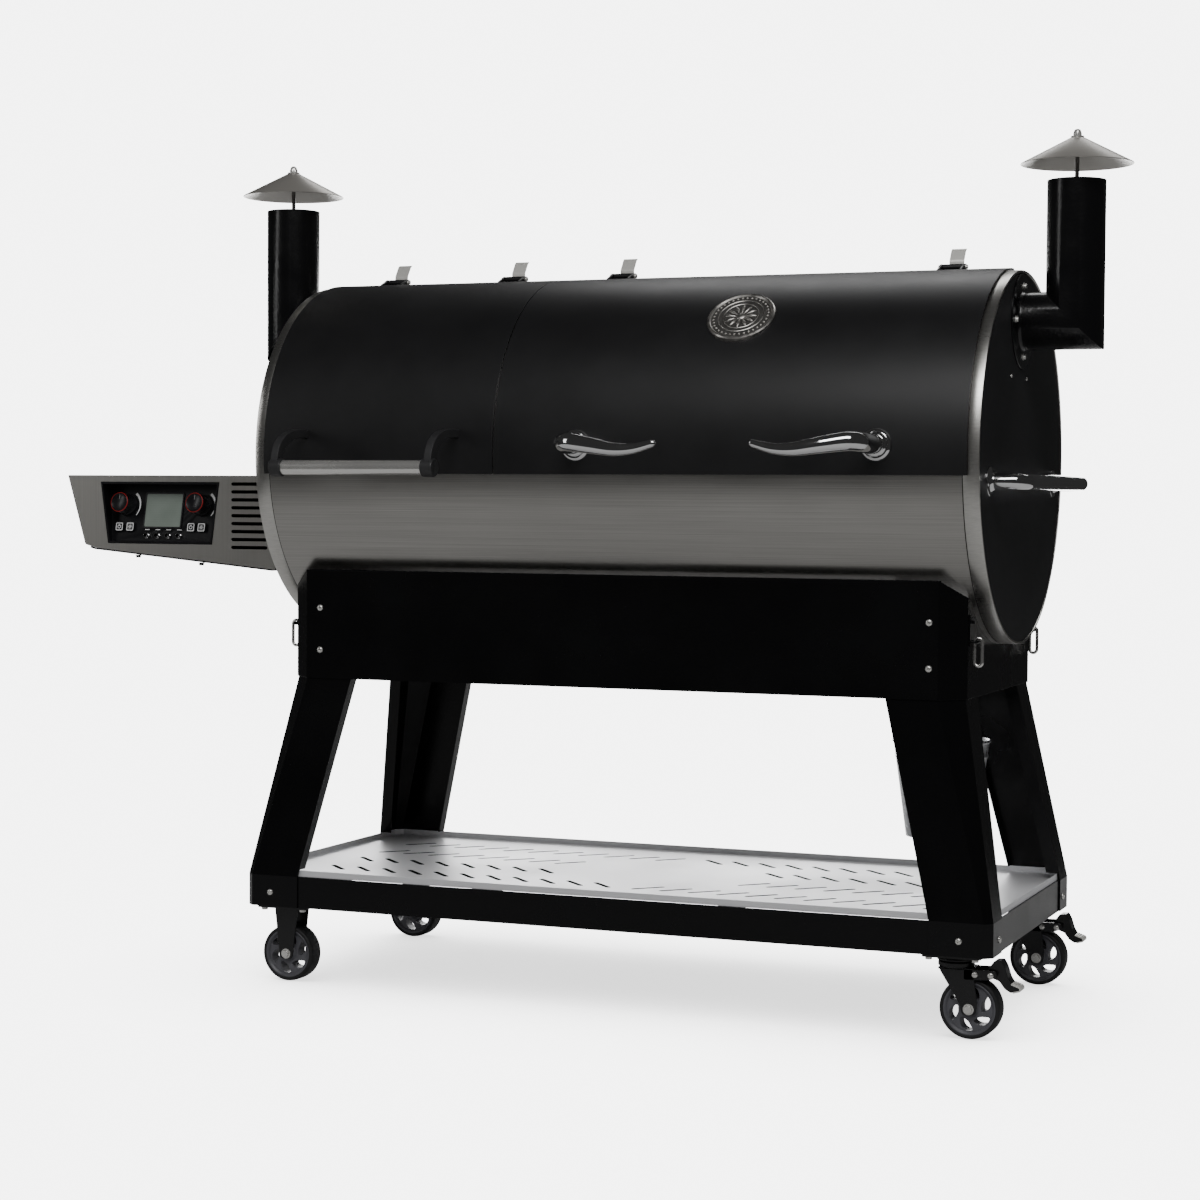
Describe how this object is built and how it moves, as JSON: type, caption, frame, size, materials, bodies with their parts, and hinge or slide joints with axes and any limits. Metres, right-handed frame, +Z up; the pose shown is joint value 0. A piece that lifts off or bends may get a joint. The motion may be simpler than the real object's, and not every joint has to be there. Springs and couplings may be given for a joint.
{
  "type": "pellet smoker grill",
  "caption": "Barrel pellet smoker on a wheeled cart: hinged barrel lids, side hopper with control panel, capped chimneys, lower shelf, braked casters and a hanging grease bucket.",
  "frame": {"origin": "on the floor, under the middle of the object's box", "axes": "+X along the barrel from the hopper to the far end, +Y from the lids' front to the back, +Z up"},
  "size_m": [2.0116, 0.7824, 1.556],
  "materials": {
    "lid_coat": "satin black powder coat, fine texture",
    "gloss_coat": "gloss black powder coat",
    "end_coat": "satin charcoal coat",
    "stainless": "brushed stainless, grain along the barrel",
    "tray_stainless": "bright stainless sheet",
    "polished": "mirror polished stainless",
    "plastic_black": "moulded matt black",
    "iron": "seasoned black iron",
    "galvanised": "zinc plated steel",
    "tyre": "smooth black tyre on a grey plastic rim",
    "caster_black": "black coated steel"
  },
  "bodies": {
    "cart_and_barrel": {"barrel_shell": "stainless", "end_panel_left": "end_coat", "end_panel_right": "end_coat", "lid_hinge_1": "stainless", "lid_hinge_2": "stainless", "lid_hinge_3": "stainless", "lid_hinge_4": "stainless", "stack_pipe_left": "lid_coat", "stack_pipe_right": "lid_coat", "side_handle": "polished", "apron_front": "gloss_coat", "apron_rear": "gloss_coat", "apron_left": "gloss_coat", "apron_right": "gloss_coat", "leg_front_left": "gloss_coat", "leg_front_right": "gloss_coat", "leg_rear_left": "gloss_coat", "leg_rear_right": "gloss_coat", "shelf_frame": "gloss_coat", "shelf_plate": "tray_stainless", "caster_fixed_front_left": "caster_black", "caster_fixed_rear_left": "caster_black", "caster_plate_front_right": "caster_black", "caster_plate_rear_right": "caster_black", "hopper_body": "lid_coat", "control_fascia": "stainless", "control_bezel": "plastic_black", "fire_pot": "iron", "drip_pan": "stainless", "cooking_grate_left": "iron", "cooking_grate_right": "iron"},
    "lid_left": {"lid_left": "lid_coat", "lid_left_bar_handle": "stainless"},
    "lid_right": {"lid_right": "lid_coat", "horn_handle_left": "polished", "horn_handle_right": "polished"},
    "hopper_lid": {"hopper_lid": "lid_coat"},
    "knob_left": {"knob_left": "plastic_black"},
    "knob_right": {"knob_right": "plastic_black"},
    "button_1": {"button_1": "plastic_black"},
    "button_2": {"button_2": "plastic_black"},
    "button_3": {"button_3": "plastic_black"},
    "button_4": {"button_4": "plastic_black"},
    "stack_cap_left": {"stack_cap_left": "stainless"},
    "stack_cap_right": {"stack_cap_right": "stainless"},
    "auger": {"auger_screw": "galvanised"},
    "fork_front": {"caster_fork_front_right": "caster_black"},
    "pedal_front": {"brake_pedal_front_right": "caster_black"},
    "wheel_front_left": {"wheel_front_left": "tyre"},
    "wheel_front_right": {"wheel_front_right": "tyre"},
    "fork_rear": {"caster_fork_rear_right": "caster_black"},
    "pedal_rear": {"brake_pedal_rear_right": "caster_black"},
    "wheel_rear_left": {"wheel_rear_left": "tyre"},
    "wheel_rear_right": {"wheel_rear_right": "tyre"},
    "bail": {"bucket_bail": "galvanised"},
    "bucket": {"grease_bucket": "galvanised"},
    "ring_front_left": {"hanging_ring_front_left": "polished"},
    "ring_front_right": {"hanging_ring_front_right": "polished"},
    "ring_rear_left": {"hanging_ring_rear_left": "polished"},
    "ring_rear_right": {"hanging_ring_rear_right": "polished"}
  },
  "joints": [
    {"name": "lid_left_hinge", "type": "hinge", "parent": "cart_and_barrel", "child": "lid_left", "pos_m": [-0.2948, 0.06521, 1.324], "axis": [-1, 0, 0], "range_deg": [0, 128]},
    {"name": "lid_right_hinge", "type": "hinge", "parent": "cart_and_barrel", "child": "lid_right", "pos_m": [0.3682, 0.06521, 1.324], "axis": [-1, 0, 0], "range_deg": [0, 128]},
    {"name": "hopper_lid_hinge", "type": "hinge", "parent": "cart_and_barrel", "child": "hopper_lid", "pos_m": [-0.8488, 0.31521, 0.9423], "axis": [-1, 0, 0], "range_deg": [0, 95]},
    {"name": "knob_left_turn", "type": "hinge", "parent": "cart_and_barrel", "child": "knob_left", "pos_m": [-0.8848, -0.18001, 0.89103], "axis": [0, -0.9794, 0.2018], "range_deg": [-135, 135]},
    {"name": "knob_right_turn", "type": "hinge", "parent": "cart_and_barrel", "child": "knob_right", "pos_m": [-0.7188, -0.18001, 0.89103], "axis": [0, -0.9794, 0.2018], "range_deg": [-135, 135]},
    {"name": "button_1_press", "type": "slide", "parent": "cart_and_barrel", "child": "button_1", "axis": [0, 0.9794, -0.2018], "range_m": [0, 0.0015], "stiffness_N_per_m": 400, "springref_m": -0.0004},
    {"name": "button_2_press", "type": "slide", "parent": "cart_and_barrel", "child": "button_2", "axis": [0, 0.9794, -0.2018], "range_m": [0, 0.0015], "stiffness_N_per_m": 400, "springref_m": -0.0004},
    {"name": "button_3_press", "type": "slide", "parent": "cart_and_barrel", "child": "button_3", "axis": [0, 0.9794, -0.2018], "range_m": [0, 0.0015], "stiffness_N_per_m": 400, "springref_m": -0.0004},
    {"name": "button_4_press", "type": "slide", "parent": "cart_and_barrel", "child": "button_4", "axis": [0, 0.9794, -0.2018], "range_m": [0, 0.0015], "stiffness_N_per_m": 400, "springref_m": -0.0004},
    {"name": "stack_cap_left_height", "type": "slide", "parent": "cart_and_barrel", "child": "stack_cap_left", "axis": [0, 0, 1], "range_m": [-0.035, 0.03]},
    {"name": "stack_cap_right_height", "type": "slide", "parent": "cart_and_barrel", "child": "stack_cap_right", "axis": [0, 0, 1], "range_m": [-0.035, 0.03]},
    {"name": "auger_spin", "type": "hinge", "parent": "cart_and_barrel", "child": "auger", "pos_m": [-0.4348, 0.06121, 0.835], "axis": [1, 0, 0], "continuous": true},
    {"name": "caster_front_right_swivel", "type": "hinge", "parent": "cart_and_barrel", "child": "fork_front", "pos_m": [0.7722, -0.20379, 0.131], "axis": [0, 0, 1], "continuous": true},
    {"name": "wheel_front_right_spin", "type": "hinge", "parent": "fork_front", "child": "wheel_front_right", "pos_m": [0.7992, -0.20379, 0.0525], "axis": [0, 1, 0], "continuous": true},
    {"name": "brake_front_right_release", "type": "hinge", "parent": "fork_front", "child": "pedal_front", "pos_m": [0.8382, -0.20379, 0.114], "axis": [0, -1, 0], "range_deg": [0, 14]},
    {"name": "wheel_front_left_spin", "type": "hinge", "parent": "cart_and_barrel", "child": "wheel_front_left", "pos_m": [-0.5018, -0.20379, 0.0525], "axis": [0, 1, 0], "continuous": true},
    {"name": "caster_rear_right_swivel", "type": "hinge", "parent": "cart_and_barrel", "child": "fork_rear", "pos_m": [0.7722, 0.32621, 0.131], "axis": [0, 0, 1], "continuous": true},
    {"name": "wheel_rear_right_spin", "type": "hinge", "parent": "fork_rear", "child": "wheel_rear_right", "pos_m": [0.7992, 0.32621, 0.0525], "axis": [0, 1, 0], "continuous": true},
    {"name": "brake_rear_right_release", "type": "hinge", "parent": "fork_rear", "child": "pedal_rear", "pos_m": [0.8382, 0.32621, 0.114], "axis": [0, -1, 0], "range_deg": [0, 14]},
    {"name": "wheel_rear_left_spin", "type": "hinge", "parent": "cart_and_barrel", "child": "wheel_rear_left", "pos_m": [-0.5018, 0.32621, 0.0525], "axis": [0, 1, 0], "continuous": true},
    {"name": "bail_swing", "type": "hinge", "parent": "cart_and_barrel", "child": "bail", "pos_m": [0.6742, 0.06121, 0.5937], "axis": [1, 0, 0], "range_deg": [-12, 12]},
    {"name": "bucket_swing", "type": "hinge", "parent": "bail", "child": "bucket", "pos_m": [0.6742, 0.06121, 0.47], "axis": [0, 1, 0], "range_deg": [-12, 12]},
    {"name": "ring_front_left_swing", "type": "hinge", "parent": "cart_and_barrel", "child": "ring_front_left", "pos_m": [-0.5208, -0.15479, 0.668], "axis": [0, 1, 0], "range_deg": [0, 75]},
    {"name": "ring_front_right_swing", "type": "hinge", "parent": "cart_and_barrel", "child": "ring_front_right", "pos_m": [0.7912, -0.15479, 0.668], "axis": [0, -1, 0], "range_deg": [0, 75]},
    {"name": "ring_rear_left_swing", "type": "hinge", "parent": "cart_and_barrel", "child": "ring_rear_left", "pos_m": [-0.5208, 0.27721, 0.668], "axis": [0, 1, 0], "range_deg": [0, 75]},
    {"name": "ring_rear_right_swing", "type": "hinge", "parent": "cart_and_barrel", "child": "ring_rear_right", "pos_m": [0.7912, 0.27721, 0.668], "axis": [0, -1, 0], "range_deg": [0, 75]}
  ]
}
